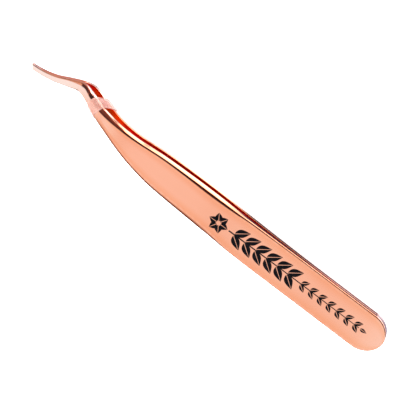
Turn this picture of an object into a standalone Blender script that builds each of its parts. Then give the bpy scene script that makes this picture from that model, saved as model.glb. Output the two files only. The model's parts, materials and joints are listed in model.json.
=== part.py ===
"""Spring tweezers: two mirror-image spring arms welded at the heel, with a soft keeper ring round the neck.

Design frame, in which the arms are drawn: X runs from the tips (0) to the heel (LENGTH), Y across the
flat of the arms, Z is the closing direction with the plane between the arms at 0. The whole assembly
hangs on one empty, which lays it down on the ring and the heel and puts the foot of its box at the origin.
"""

import math

import bmesh
import bpy
import numpy as np
from mathutils import Matrix, Vector

MM = 0.001

LENGTH = 120.0 * MM
HANDLE_HALF_WIDTH = 5.72 * MM
HEEL_ROUND_LENGTH = 6.3 * MM
HEEL_ROUND_START = LENGTH - HEEL_ROUND_LENGTH
HEEL_ROUND_STEPS = 8
HEEL_ROUND_END = math.radians(70.0)  # the half ellipse ends in a short straight edge
TIP_SLANT = 0.5 * MM  # how far the tip's upper corner leads its middle, and its lower corner trails it
TIP_SLANT_FADE = 5.0 * MM

# Distance from the tip, the arm's lower and upper edge, its thickness, and the width of its edge bevel.
ARM_STATIONS = np.array([
    (0.0, 2.15, 3.55, 0.70, 0.22),
    (2.7, 2.36, 3.88, 0.82, 0.27),
    (6.7, 3.08, 4.98, 1.00, 0.33),
    (10.8, 4.42, 6.92, 1.22, 0.40),
    (13.4, 5.25, 8.10, 1.42, 0.72),
    (14.9, 5.42, 8.48, 1.52, 0.95),
    (16.4, 5.18, 8.52, 1.62, 1.12),
    (18.3, 4.46, 8.02, 1.70, 1.20),
    (21.5, 2.86, 6.84, 1.68, 1.25),
    (23.7, 1.83, 6.34, 1.60, 1.28),
    (26.9, 0.44, 5.62, 1.48, 1.22),
    (31.0, -1.20, 5.18, 1.38, 1.18),
    (35.0, -2.42, 5.16, 1.30, 1.14),
    (39.0, -3.30, 5.48, 1.27, 1.12),
    (43.1, -4.00, 5.80, 1.25, 1.15),
    (51.2, -4.60, 6.02, 1.25, 1.32),
    (59.3, -4.98, 6.06, 1.25, 1.48),
    (66.5, -5.28, 5.96, 1.22, 1.10),
    (71.0, -5.42, 5.86, 1.16, 0.55),
    (75.5, -5.52, 5.79, 1.12, 0.38),
    (81.0, -5.62, 5.75, 1.10, 0.30),
    (94.0, -5.72, 5.72, 1.10, 0.28),
    (120.0, -5.72, 5.72, 1.10, 0.28),
]) * MM
BEVEL_SLOPE = 0.83  # depth of the edge bevel for each unit of its width
WIDEST_BEVEL = 0.35  # of the arm's width
INNER_EDGE = 0.10 * MM  # small break on the edges that face the other arm
LEAST_SIDE = 0.20 * MM  # what the bevel leaves of the arm's side, with that break
SLOPE_STEP = 0.05 * MM  # over which an edge's direction is measured

HEEL_HALF_GAP = 0.12 * MM
TIP_HALF_GAP = 0.03 * MM
BOW_HALF_GAP = 0.88 * MM  # what the bowed handle adds on each side of the closing plane
BOW_START = 97.0 * MM
BOW_FULL = 58.0 * MM
NECK_HALF_GAP = 0.72 * MM  # what the swelling at the neck adds to that
NECK_SWELL_AT = 21.5 * MM
NECK_SWELL_REACH = 7.0 * MM
TIPS_MEET = 12.8 * MM
TIPS_PART = 17.5 * MM

FLEX_X = 94.0 * MM  # where the free part of an arm bends against the heel
FLEX_GAP = 0.20 * MM
WELD_FRONT = 101.0 * MM
WELD_THICKNESS = 0.20 * MM

RING_CENTRE_X = 21.4 * MM
RING_TILT = math.radians(16.0)  # how far the direction along the ring drops below the X axis
RING_WIDTH = 3.6 * MM
RING_WALL = 0.50 * MM
RING_CLEARANCE = 0.06 * MM
RING_CORNER = 0.55 * MM
RING_CORNER_STEPS = 5
RING_RIM = 0.35  # of the wall, rounded off at each rim
RING_STATIONS = 9
REACH_ROUNDS = 12  # enough for a point to settle on an edge

ROSE_GOLD = (0.95, 0.43, 0.28)
WELD_METAL = (0.80, 0.40, 0.28)
CLEAR_RUBBER = (0.93, 0.80, 0.76)


def clear_scene():
    """Removes every object of the scene."""
    for obj in list(bpy.data.objects):
        bpy.data.objects.remove(obj)


def make_material(name, colour, roughness, metallic):
    """A Principled material with one colour, roughness and metallic value."""
    material = bpy.data.materials.new(name)
    material.use_nodes = True
    shader = material.node_tree.nodes["Principled BSDF"]
    shader.inputs["Base Color"].default_value = (*colour, 1.0)
    shader.inputs["Roughness"].default_value = roughness
    shader.inputs["Metallic"].default_value = metallic
    return material


def smoothstep(value, start, end):
    """Runs from 0 at start to 1 at end, level at both."""
    u = np.clip((value - start) / (end - start), 0.0, 1.0)
    return u * u * (3.0 - 2.0 * u)


def through(x, xs, ys):
    """The value at x of a smooth curve through the points (xs, ys), with three-point slopes."""
    steps = np.diff(ys) / np.diff(xs)
    slopes = np.concatenate([steps[:1], 0.5 * (steps[1:] + steps[:-1]), steps[-1:]])
    i = np.clip(np.searchsorted(xs, x) - 1, 0, len(xs) - 2)
    span = xs[i + 1] - xs[i]
    u = np.clip((x - xs[i]) / span, 0.0, 1.0)
    start = (2 * u ** 3 - 3 * u ** 2 + 1) * ys[i] + (u ** 3 - 2 * u ** 2 + u) * span * slopes[i]
    end = (3 * u ** 2 - 2 * u ** 3) * ys[i + 1] + (u ** 3 - u ** 2) * span * slopes[i + 1]
    return start + end


def arm_value(column, x):
    """One column of ARM_STATIONS at distance x from the tip."""
    return through(x, ARM_STATIONS[:, 0], ARM_STATIONS[:, column])


def lower_edge(x):
    return arm_value(1, x)


def upper_edge(x):
    return arm_value(2, x)


def thickness(x):
    return arm_value(3, x)


def bevel_width(x):
    return arm_value(4, x)


def half_gap(x):
    """Distance from the closing plane to the arm's inner face."""
    swell = NECK_HALF_GAP * np.exp(-(((x - NECK_SWELL_AT) / NECK_SWELL_REACH) ** 2))
    bow = BOW_HALF_GAP * smoothstep(x, BOW_START, BOW_FULL)
    open_part = HEEL_HALF_GAP + bow + swell - TIP_HALF_GAP
    return TIP_HALF_GAP + open_part * smoothstep(x, TIPS_MEET, TIPS_PART)


def edge_pairs(start, end):
    """Points and inward normals of the lower and upper edge at each station from start to end.

    Each row is (x, y, normal x, normal y). Past HEEL_ROUND_START the edges close in a half ellipse.
    """
    marks = np.array([start, *[x for x in ARM_STATIONS[:, 0] if start < x < end], end])
    halves = np.sort(np.concatenate([marks, 0.5 * (marks[1:] + marks[:-1])]))
    straight = halves[halves < HEEL_ROUND_START]
    angles = np.linspace(0.0, HEEL_ROUND_END, HEEL_ROUND_STEPS) if end > HEEL_ROUND_START else []
    heel_reach = HEEL_ROUND_LENGTH / math.sin(HEEL_ROUND_END)
    pairs = []
    for side, edge in ((1.0, lower_edge), (-1.0, upper_edge)):
        rows = []
        for x in straight:
            slope = (edge(x + SLOPE_STEP) - edge(x - SLOPE_STEP)) / (2.0 * SLOPE_STEP)
            normal = Vector((-slope, 1.0)).normalized() * side
            lead = side * TIP_SLANT * (1.0 - smoothstep(x, 0.0, TIP_SLANT_FADE))
            rows.append((x + lead, edge(x), normal.x, normal.y))
        for angle in angles:
            x = HEEL_ROUND_START + heel_reach * math.sin(angle)
            y = -side * HANDLE_HALF_WIDTH * math.cos(angle)
            normal = Vector((
                -math.sin(angle) / heel_reach,
                side * math.cos(angle) / HANDLE_HALF_WIDTH,
            )).normalized()
            rows.append((x, y, normal.x, normal.y))
        pairs.append(rows)
    return list(zip(*pairs))


def inset(point, distance):
    """A point (x, y, normal x, normal y) of an edge, moved inwards by distance."""
    return point[0] + point[2] * distance, point[1] + point[3] * distance


def bridge(bm, rings):
    """Skins consecutive rings of vertices with quads."""
    for first, second in zip(rings, rings[1:]):
        for i in range(len(first)):
            j = (i + 1) % len(first)
            bm.faces.new((first[i], first[j], second[j], second[i]))


def finish_object(name, bm, material, parent, smooth_below=math.radians(25.0)):
    """Turns a bmesh into a named object with outward faces and rounded shading under the given angle."""
    bmesh.ops.remove_doubles(bm, verts=bm.verts, dist=1e-6)
    bmesh.ops.recalc_face_normals(bm, faces=bm.faces)
    mesh = bpy.data.meshes.new(name)
    bm.to_mesh(mesh)
    bm.free()
    mesh.shade_smooth()
    mesh.set_sharp_from_angle(angle=smooth_below)
    mesh.materials.append(material)
    obj = bpy.data.objects.new(name, mesh)
    bpy.context.collection.objects.link(obj)
    obj.parent = parent
    return obj


def arm_ring(bm, low, high, side, shift):
    """The eight corners of an arm's cross-section at one pair of edge points."""
    x = 0.5 * (low[0] + high[0])
    inner = float(half_gap(x))
    outer = inner + float(thickness(x))
    width = min(float(bevel_width(x)), WIDEST_BEVEL * (high[1] - low[1]))
    shoulder = max(outer - BEVEL_SLOPE * width, inner + LEAST_SIDE)
    corners = (
        (inset(low, INNER_EDGE), inner),
        (inset(high, INNER_EDGE), inner),
        (inset(high, 0.0), inner + INNER_EDGE),
        (inset(high, 0.0), shoulder),
        (inset(high, width), outer),
        (inset(low, width), outer),
        (inset(low, 0.0), shoulder),
        (inset(low, 0.0), inner + INNER_EDGE),
    )
    return [bm.verts.new(Vector((px, py, side * z)) - shift) for (px, py), z in corners]


def cap(bm, ring):
    """Closes a cross-section with one face each for its inner break, its wall and its bevel."""
    bm.faces.new((ring[7], ring[0], ring[1], ring[2]))
    bm.faces.new((ring[6], ring[7], ring[2], ring[3]))
    bm.faces.new((ring[5], ring[6], ring[3], ring[4]))


def make_arm(name, side, start, end, material, parent, origin=Vector((0.0, 0.0, 0.0))):
    """A stretch of a spring arm; side is 1 for the upper arm and -1 for the lower one."""
    bm = bmesh.new()
    rings = [arm_ring(bm, low, high, side, origin) for low, high in edge_pairs(start, end)]
    bridge(bm, rings)
    cap(bm, rings[0])
    cap(bm, rings[-1])
    obj = finish_object(name, bm, material, parent)
    obj.location = origin
    return obj


def make_weld(material, parent):
    """The layer of weld metal that joins the two arms at the heel."""
    bm = bmesh.new()
    rings = []
    for low, high in edge_pairs(WELD_FRONT, LENGTH):
        corners = (inset(low, INNER_EDGE), inset(high, INNER_EDGE))
        bottom = [bm.verts.new((px, py, -0.5 * WELD_THICKNESS)) for px, py in corners]
        top = [bm.verts.new((px, py, 0.5 * WELD_THICKNESS)) for px, py in reversed(corners)]
        rings.append(bottom + top)
    bridge(bm, rings)
    bm.faces.new(rings[0])
    bm.faces.new(rings[-1])
    return finish_object("heel_weld", bm, material, parent)


def ring_frame():
    """The neck's middle at the ring, and the directions along and across it."""
    middle = 0.5 * (lower_edge(RING_CENTRE_X) + upper_edge(RING_CENTRE_X))
    along = Vector((math.cos(RING_TILT), -math.sin(RING_TILT), 0.0))
    across = Vector((math.sin(RING_TILT), math.cos(RING_TILT), 0.0))
    return Vector((RING_CENTRE_X, middle, 0.0)), along, across


def neck_reach(u, edge):
    """How far across the neck an edge lies, at distance u along it from the ring's middle."""
    centre, along, across = ring_frame()
    base = centre + along * u
    v = 0.0
    for _ in range(REACH_ROUNDS):
        v = (edge(base.x + across.x * v) - base.y) / across.y
    return v


def neck_depth(slope=0.0):
    """The neck's greatest distance from the closing plane under the ring, from a line of the given slope."""
    span = np.linspace(RING_CENTRE_X - RING_WIDTH, RING_CENTRE_X + RING_WIDTH, 2 * RING_STATIONS)
    return float(np.max(half_gap(span) + thickness(span) + slope * (span - RING_CENTRE_X)))


def ring_outline(u, spread, slope):
    """A rounded rectangle round both arms at distance u along the neck, spread outwards.

    Its underside keeps to the given slope, so that it lies flat under the tilted assembly.
    """
    centre, along, across = ring_frame()
    low = neck_reach(u, lower_edge) - spread
    high = neck_reach(u, upper_edge) + spread
    x_high = centre.x + along.x * u + across.x * high
    x_low = centre.x + along.x * u + across.x * low
    stations = np.linspace(x_low, x_high, RING_STATIONS)
    top = float(np.max(half_gap(stations) + thickness(stations))) + spread
    bottom = -neck_depth(slope) - spread
    radius = RING_CORNER + spread
    corners = ((high, top, 0), (low, top, 1), (low, bottom, 2), (high, bottom, 3))
    points = []
    for v, z, quarter in corners:
        middle_v = v - math.copysign(radius, v)
        middle_z = z - math.copysign(radius, z)
        for step in range(RING_CORNER_STEPS + 1):
            angle = (quarter + step / RING_CORNER_STEPS) * math.pi / 2.0
            point = centre + along * u + across * (middle_v + radius * math.cos(angle))
            point.z = middle_z + radius * math.sin(angle)
            if z < 0.0:
                point.z += slope * (point.x - RING_CENTRE_X)
            points.append(point)
    return points


def make_keeper_ring(slope, material, parent):
    """The soft band that goes once round both arms at the neck, with rounded rims."""
    half = 0.5 * RING_WIDTH
    rim = RING_RIM * RING_WALL
    outer = RING_CLEARANCE + RING_WALL
    wall = (
        (-half, RING_CLEARANCE),
        (half, RING_CLEARANCE),
        (half, outer - rim),
        (half - rim, outer),
        (rim - half, outer),
        (-half, outer - rim),
    )
    bm = bmesh.new()
    loops = [[bm.verts.new(point) for point in ring_outline(u, spread, slope)] for u, spread in wall]
    bridge(bm, [*loops, loops[0]])
    return finish_object("keeper_ring", bm, material, parent)


def world_corners(objects):
    """The lowest and highest corner of the objects in world space."""
    bpy.context.view_layer.update()
    points = [obj.matrix_world @ vertex.co for obj in objects for vertex in obj.data.vertices]
    low = Vector([min(point[axis] for point in points) for axis in range(3)])
    high = Vector([max(point[axis] for point in points) for axis in range(3)])
    return low, high


def lie_slope(arm):
    """The slope of the line under the assembly, from the ring's underside to the heel's end."""
    slope = 0.0
    for _ in range(REACH_ROUNDS):
        ring_foot = -neck_depth(slope) - RING_CLEARANCE - RING_WALL
        slope = min(
            (vertex.co.z - ring_foot) / (vertex.co.x - RING_CENTRE_X)
            for vertex in arm.data.vertices
            if vertex.co.x > HEEL_ROUND_START
        )
    return slope


def main():
    """Builds the tweezers and lays them down."""
    clear_scene()
    rose_gold = make_material("rose_gold", ROSE_GOLD, 0.12, 1.0)
    weld_metal = make_material("weld_metal", WELD_METAL, 0.30, 1.0)
    clear_rubber = make_material("clear_rubber", CLEAR_RUBBER, 0.25, 0.0)

    lay = bpy.data.objects.new("lay_down", None)
    bpy.context.collection.objects.link(lay)

    flex_z = float(half_gap(FLEX_X) + 0.5 * thickness(FLEX_X))
    flex_origin = Vector((FLEX_X, 0.0, flex_z))
    half_flex = 0.5 * FLEX_GAP
    lower_arm = make_arm("lower_arm", -1.0, 0.0, LENGTH, rose_gold, lay)
    slope = lie_slope(lower_arm)
    parts = [
        lower_arm,
        make_arm("upper_arm_blade", 1.0, 0.0, FLEX_X - half_flex, rose_gold, lay, flex_origin),
        make_arm("upper_arm_heel", 1.0, FLEX_X + half_flex, LENGTH, rose_gold, lay),
        make_weld(weld_metal, lay),
        make_keeper_ring(slope, clear_rubber, lay),
    ]
    lay.rotation_euler = (0.0, math.atan(slope), 0.0)
    low, high = world_corners(parts)
    foot = Vector((0.5 * (low.x + high.x), 0.5 * (low.y + high.y), low.z))
    lay.matrix_world = Matrix.Translation(-foot) @ lay.matrix_world


main()
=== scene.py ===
"""Looks of a pair of rose-gold spring tweezers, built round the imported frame.

Drawing frame, as in the part: X runs from the tips (0) to the heel, Y across the flat of the
arms, and Z is the closing direction, with the plane between the arms at 0. Lay carries it into the
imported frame.
"""

import json
import logging
import math
from dataclasses import dataclass
from enum import Enum, IntEnum
from typing import Any, ClassVar

import bpy
import numpy as np
from mathutils import Matrix, Vector

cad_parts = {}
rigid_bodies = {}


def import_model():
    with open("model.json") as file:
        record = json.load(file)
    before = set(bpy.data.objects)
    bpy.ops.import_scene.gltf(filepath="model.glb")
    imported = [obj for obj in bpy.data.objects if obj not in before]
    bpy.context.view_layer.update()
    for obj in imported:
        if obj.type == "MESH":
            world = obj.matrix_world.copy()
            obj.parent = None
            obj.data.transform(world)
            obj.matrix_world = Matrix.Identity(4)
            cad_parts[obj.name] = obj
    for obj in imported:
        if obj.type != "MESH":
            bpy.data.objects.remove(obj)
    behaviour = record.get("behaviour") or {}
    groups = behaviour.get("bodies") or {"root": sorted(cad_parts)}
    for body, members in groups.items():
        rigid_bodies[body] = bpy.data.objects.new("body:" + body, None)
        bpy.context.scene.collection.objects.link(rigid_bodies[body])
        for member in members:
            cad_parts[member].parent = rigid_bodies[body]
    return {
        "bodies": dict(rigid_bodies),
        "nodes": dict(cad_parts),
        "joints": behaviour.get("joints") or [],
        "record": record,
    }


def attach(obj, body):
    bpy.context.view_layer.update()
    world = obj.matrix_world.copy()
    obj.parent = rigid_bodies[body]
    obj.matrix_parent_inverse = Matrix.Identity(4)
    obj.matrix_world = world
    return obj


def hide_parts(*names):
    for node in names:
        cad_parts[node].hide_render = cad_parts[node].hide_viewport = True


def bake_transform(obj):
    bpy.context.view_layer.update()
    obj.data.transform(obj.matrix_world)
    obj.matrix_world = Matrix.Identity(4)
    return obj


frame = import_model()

MM = 0.001
Array = np.ndarray
Triple = tuple[float, float, float]
Colour = Triple
Stops = tuple[tuple[float, Colour], ...]

# A fillet takes at most this share of an edge, so that two never meet.
MOST_OF_EDGE = 0.49
# A Bezier fillet this many radii long comes closest to a quarter circle.
ROUND_FILLET = 1.35

log = logging.getLogger("tweezers")


# ---------------------------------------------------------------- shapes


def smoothstep(value: Array | float, start: float, end: float) -> Array:
    """Runs from 0 at start to 1 at end, level at both: 3u^2 - 2u^3 of the clipped share u.

    Args:
        value: Where it is asked for.
        start: Value at which it is 0.
        end: Value at which it is 1.

    Returns:
        The share, of value's shape.
    """
    u = np.clip((np.asarray(value, float) - start) / (end - start), 0.0, 1.0)
    return u * u * (3.0 - 2.0 * u)


def through(x: Array, xs: Array, ys: Array) -> Array:
    """A smooth curve through given points: cubic Hermite pieces with three-point slopes.

    Args:
        x: Where it is asked for.
        xs: Rising abscissae of the points.
        ys: Their ordinates.

    Returns:
        The curve's height at each x.
    """
    steps = np.diff(ys) / np.diff(xs)
    slopes = np.concatenate([steps[:1], 0.5 * (steps[1:] + steps[:-1]), steps[-1:]])
    i = np.clip(np.searchsorted(xs, x) - 1, 0, len(xs) - 2)
    span = xs[i + 1] - xs[i]
    u = np.clip((x - xs[i]) / span, 0.0, 1.0)
    start = (2 * u**3 - 3 * u**2 + 1) * ys[i] + (u**3 - 2 * u**2 + u) * span * slopes[i]
    end = (3 * u**2 - 2 * u**3) * ys[i + 1] + (u**3 - u**2) * span * slopes[i + 1]
    return start + end


def unit(vectors: Array) -> Array:
    """Vectors divided by their lengths, along the last axis."""
    return vectors / np.maximum(np.linalg.norm(vectors, axis=-1, keepdims=True), 1e-12)


def filleted_loop(corners: Array, radii: Array, arc: int, spans: list[int]) -> Array:
    """Rounds the corners of closed polygons, one polygon to a row.

    Each corner C becomes the quadratic Bezier (1-t)^2 A + 2t(1-t) C + t^2 B between the points A
    and B that lie a radius away on its two edges, and each edge gets evenly spaced points between
    its fillets.

    Args:
        corners: Polygon corners, rows by corners by 3.
        radii: Fillet lengths, rows by corners, each cut to MOST_OF_EDGE of its shorter edge.
        arc: Number of points on a fillet.
        spans: Number of points put between each corner's fillet and the next one's.

    Returns:
        The loops, rows by points by 3, starting on the first corner's fillet.
    """
    before = np.roll(corners, 1, axis=1) - corners
    after = np.roll(corners, -1, axis=1) - corners
    shortest = np.minimum(np.linalg.norm(before, axis=2), np.linalg.norm(after, axis=2))
    reach = np.minimum(radii, MOST_OF_EDGE * shortest)[..., None]
    a, b = corners + unit(before) * reach, corners + unit(after) * reach
    t = np.linspace(0.0, 1.0, arc)[None, None, :, None]
    ends = (1 - t) ** 2 * a[:, :, None] + t**2 * b[:, :, None]
    bends = ends + 2 * t * (1 - t) * corners[:, :, None]
    ahead = np.roll(a, -1, axis=1)
    parts = []
    for j, count in enumerate(spans):
        share = (np.arange(1, count + 1) / (count + 1))[None, :, None]
        parts += [bends[:, j], b[:, None, j] * (1 - share) + ahead[:, None, j] * share]
    return np.concatenate(parts, axis=1)


def tube_faces(rows: int, around: int, ring: bool = False) -> list[list[int]]:
    """Faces of a tube of loops whose points go by row.

    Args:
        rows: Number of loops.
        around: Number of points in a loop.
        ring: True joins the last loop to the first. Otherwise each end is zipped shut with faces
            between point i of its loop and point around - i.

    Returns:
        The faces, as lists of point numbers.
    """
    row = np.arange(rows if ring else rows - 1)[:, None]
    here, there = row * around, (row + 1) % rows * around
    i = np.arange(around)[None, :]
    j = (i + 1) % around
    sides = np.stack([here + i, here + j, there + j, there + i], axis=-1).reshape(-1, 4).tolist()
    if ring:
        return sides
    half = around // 2
    low = np.arange(1, half - 1)
    lid = np.stack([low, low + 1, around - low - 1, around - low], axis=-1)
    points = np.array([[0, 1, around - 1], [half - 1, half, half + 1]])
    last = (rows - 1) * around
    return (
        sides
        + lid[:, ::-1].tolist() + points[:, ::-1].tolist()
        + (lid + last).tolist() + (points + last).tolist()
    )


def slab_faces(patches: int, rows: int, columns: int) -> list[list[int]]:
    """Faces of closed slabs, each an upper grid followed by a lower one of rows by columns points.

    Args:
        patches: Number of slabs.
        rows: Grid rows.
        columns: Grid columns.

    Returns:
        The faces, as lists of point numbers.
    """
    size = rows * columns
    number = np.arange(size).reshape(rows, columns)
    cells = [number[:-1, :-1], number[1:, :-1], number[1:, 1:], number[:-1, 1:]]
    top = np.stack(cells, axis=-1).reshape(-1, 4)
    rim = np.concatenate([number[0, :-1], number[:-1, -1], number[-1, :0:-1], number[:0:-1, 0]])
    on = np.roll(rim, -1)
    wall = np.stack([rim, on, on + size, rim + size], axis=-1)
    one = np.concatenate([top, top[:, ::-1] + size, wall])
    return (one[None] + (np.arange(patches) * 2 * size)[:, None, None]).reshape(-1, 4).tolist()


def shell_volume(points: Array, faces: list[list[int]]) -> float:
    """The signed volume that faces enclose: the sum of the tetrahedra on the origin."""
    fans = np.array([
        (face[0], face[k], face[k + 1]) for face in faces for k in range(1, len(face) - 1)
    ])
    a, b, c = (points[fans[:, k]] for k in range(3))
    return float(np.einsum("ij,ij->", a, np.cross(b, c))) / 6.0


def mesh_piece(
    name: str, points: Array, faces: list[list[int]], layers: dict[str, Array] | None = None
) -> bpy.types.Object:
    """Makes a smooth, outward facing mesh object at the origin.

    Args:
        name: The piece's name.
        points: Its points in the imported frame, in metres.
        faces: Its faces, turned round together if they enclose a negative volume.
        layers: Values for each point that a material reads by name.

    Returns:
        The object, linked into the scene.
    """
    if shell_volume(points, faces) < 0.0:
        faces = [face[::-1] for face in faces]
    mesh = bpy.data.meshes.new(name)
    mesh.from_pydata(points.tolist(), [], faces)
    for layer, values in (layers or {}).items():
        data = mesh.attributes.new(layer, "FLOAT", "POINT").data
        data.foreach_set("value", values.ravel().astype(np.float32))
    mesh.validate()
    mesh.shade_smooth()
    piece = bpy.data.objects.new(name, mesh)
    bpy.context.scene.collection.objects.link(piece)
    return piece


# ---------------------------------------------------------------- the arm's drawing


class Side(IntEnum):
    """Which arm, as the sign of its Z."""

    UPPER = 1
    LOWER = -1


@dataclass(frozen=True)
class ArmForm:
    """The outline, thickness and bow that both arms share, in the drawing frame and in metres."""

    length: float = 120.0 * MM
    half_width: float = 5.72 * MM
    heel_round: float = 6.3 * MM
    heel_lead: float = 0.2 * MM
    tip_slant: float = 0.5 * MM
    tip_slant_fade: float = 5.0 * MM
    bevel_slope: float = 0.83
    widest_bevel: float = 0.35
    inner_edge: float = 0.10 * MM
    least_side: float = 0.20 * MM
    heel_half_gap: float = 0.12 * MM
    tip_half_gap: float = 0.03 * MM
    bow_half_gap: float = 0.88 * MM
    bow_start: float = 97.0 * MM
    bow_full: float = 58.0 * MM
    neck_half_gap: float = 0.72 * MM
    neck_swell_at: float = 21.5 * MM
    neck_swell_reach: float = 7.0 * MM
    tips_meet: float = 12.8 * MM
    tips_part: float = 17.5 * MM
    flex_x: float = 94.0 * MM
    facet_angle: float = math.radians(24.0)
    steepest_share: float = 0.7
    slope_step: float = 0.05 * MM

    # Distance from the tip, lower edge, upper edge, thickness, bevel width, in millimetres.
    STATIONS: ClassVar[Array] = np.array([
        (0.0, 2.15, 3.55, 0.70, 0.22),
        (2.7, 2.36, 3.88, 0.82, 0.27),
        (6.7, 3.08, 4.98, 1.00, 0.33),
        (10.8, 4.42, 6.92, 1.22, 0.40),
        (13.4, 5.25, 8.10, 1.42, 0.72),
        (14.9, 5.42, 8.48, 1.52, 0.95),
        (16.4, 5.18, 8.52, 1.62, 1.12),
        (18.3, 4.46, 8.02, 1.70, 1.20),
        (21.5, 2.86, 6.84, 1.68, 1.25),
        (23.7, 1.83, 6.34, 1.60, 1.28),
        (26.9, 0.44, 5.62, 1.48, 1.22),
        (31.0, -1.20, 5.18, 1.38, 1.18),
        (35.0, -2.42, 5.16, 1.30, 1.14),
        (39.0, -3.30, 5.48, 1.27, 1.12),
        (43.1, -4.00, 5.80, 1.25, 1.15),
        (51.2, -4.60, 6.02, 1.25, 1.32),
        (59.3, -4.98, 6.06, 1.25, 1.48),
        (66.5, -5.28, 5.96, 1.22, 1.10),
        (71.0, -5.42, 5.86, 1.16, 0.55),
        (75.5, -5.52, 5.79, 1.12, 0.38),
        (81.0, -5.62, 5.75, 1.10, 0.30),
        (94.0, -5.72, 5.72, 1.10, 0.28),
        (120.0, -5.72, 5.72, 1.10, 0.28),
    ]) * MM

    # Distance from the tip, and the share of the bevel that is its flatter first facet.
    FACET_SHARE: ClassVar[Array] = np.array([
        (0.0, 0.50), (10.0, 0.60), (14.0, 0.86), (23.0, 0.90), (27.0, 0.76), (31.0, 0.64),
        (40.0, 0.58), (52.0, 0.60), (66.0, 0.68), (76.0, 0.84), (120.0, 0.86),
    ])

    # Distance from the tip, and the share of the bevel's width that the upper edge has.
    UPPER_TRIM: ClassVar[Array] = np.array([
        (0.0, 1.0), (24.0, 1.0), (29.0, 0.80), (35.0, 0.74), (52.0, 0.76), (66.0, 0.78),
        (76.0, 1.0), (120.0, 1.0),
    ])

    # Distance from the tip, and the outer face's crown for each square of its half width.
    CROWN: ClassVar[Array] = np.array([
        (0.0, 60.0), (12.0, 50.0), (18.0, 26.0), (26.0, 9.0), (40.0, 4.5), (60.0, 3.4),
        (120.0, 3.4),
    ])

    @property
    def straight_end(self) -> float:
        """Distance of the last straight row, just before the heel's rounding."""
        return self.length - self.heel_round - self.heel_lead

    def column(self, index: int, x: Array) -> Array:
        """One column of STATIONS at distances x from the tip."""
        return through(x, self.STATIONS[:, 0], self.STATIONS[:, index])

    def half_gap(self, x: Array) -> Array:
        """Distance from the closing plane to the inner face.

        It is the heel gap, plus a smooth step for the bow, plus a bell curve at the neck, and all
        but the tips' own gap fades out towards them.

        Args:
            x: Distances from the tip.

        Returns:
            The distances.
        """
        from_neck = (x - self.neck_swell_at) / self.neck_swell_reach
        swell = self.neck_half_gap * np.exp(-(from_neck**2))
        bow = self.bow_half_gap * smoothstep(x, self.bow_start, self.bow_full)
        open_part = self.heel_half_gap + bow + swell - self.tip_half_gap
        return self.tip_half_gap + open_part * smoothstep(x, self.tips_meet, self.tips_part)

    def facet_share(self, x: Array) -> Array:
        """Share of the bevel's width that its flatter facet takes."""
        return np.interp(x / MM, self.FACET_SHARE[:, 0], self.FACET_SHARE[:, 1])

    def crown(self, x: Array, half: Array) -> Array:
        """Rise of the outer face's middle over its edges: a rate times its half width squared."""
        return np.interp(x / MM, self.CROWN[:, 0], self.CROWN[:, 1]) * half**2

    def edges(self, x: Array, turns: Array) -> tuple[Array, Array]:
        """The arm's lower and upper edge, with their inward normals.

        Along the arm they follow the station table, and round the heel the half ellipse
        (round_start + heel_round sin a, -+ half_width cos a).

        Args:
            x: Distances of the straight rows from the tip, before the heel's rounding.
            turns: Angles a of the rows on the heel's rounding.

        Returns:
            Two arrays of (x, y, normal x, normal y), lower edge first.
        """
        step = self.slope_step
        start = self.length - self.heel_round
        found = []
        for column, side in ((1, 1.0), (2, -1.0)):
            rise = self.column(column, x + step) - self.column(column, x - step)
            slope = rise / (2.0 * step)
            lead = side * self.tip_slant * (1.0 - smoothstep(x, 0.0, self.tip_slant_fade))
            along = side * unit(np.stack([-slope, np.ones_like(x)], axis=-1))
            straight = np.column_stack([x + lead, self.column(column, x), along])
            round_x = start + self.heel_round * np.sin(turns)
            round_y = -side * self.half_width * np.cos(turns)
            inward = unit(np.stack([
                -np.sin(turns) / self.heel_round, side * np.cos(turns) / self.half_width,
            ], axis=-1))
            found.append(np.concatenate([straight, np.column_stack([round_x, round_y, inward])]))
        return found[0], found[1]

    def bevels(self, x: Array, room: Array) -> tuple[Array, Array]:
        """Widths of the bevel on the lower and on the upper edge.

        Args:
            x: Distances from the tip.
            room: The arm's width there.

        Returns:
            The two widths.
        """
        width = np.minimum(self.column(4, x), self.widest_bevel * room)
        trim = np.interp(x / MM, self.UPPER_TRIM[:, 0], self.UPPER_TRIM[:, 1])
        return width, width * trim

    def face_height(self, x: Array, y: Array) -> Array:
        """Height of the crowned outer face over the closing plane, at points of the handle."""
        low, high = self.column(1, x), self.column(2, x)
        lower, upper = self.bevels(x, high - low)
        half = 0.5 * (high - upper - low - lower)
        across = np.clip((y - 0.5 * (low + lower + high - upper)) / half, -1.0, 1.0)
        return self.half_gap(x) + self.column(3, x) + self.crown(x, half) * (1.0 - across**2)


@dataclass(frozen=True)
class Lay:
    """How the assembly lies: a turn about Y, and a shift that puts its flex line in its place."""

    turn: float
    shift: tuple[float, float, float]

    @classmethod
    def of(cls, packed: dict[str, Any], form: ArmForm) -> "Lay":
        """Reads the turn off the heel's top mount and the shift off the flex joint.

        Args:
            form: The arm's drawing.

        Returns:
            The lay.
        """
        axis = next(m["axis"] for m in packed["record"]["mounts"] if m["name"] == "heel_top")
        turn = math.atan2(axis[0], axis[2])
        x = form.flex_x
        z = float(form.half_gap(x) + 0.5 * form.column(3, np.array([x]))[0])
        turned = Matrix.Rotation(turn, 3, "Y") @ Vector((x, 0.0, z))
        shift = Vector(packed["joints"][0]["pos_m"]) - turned
        return cls(turn, tuple(shift))

    def matrix(self) -> Array:
        """The turn as a 3 by 3 array."""
        return np.array(Matrix.Rotation(self.turn, 3, "Y"))

    def place(self, points: Array) -> Array:
        """Points of the drawing frame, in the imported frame."""
        return np.asarray(points, float).reshape(-1, 3) @ self.matrix().T + np.array(self.shift)

    def direction(self, vector: Array) -> Vector:
        """A direction of the drawing frame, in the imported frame."""
        return Vector(self.matrix() @ np.asarray(vector, float))


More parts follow.
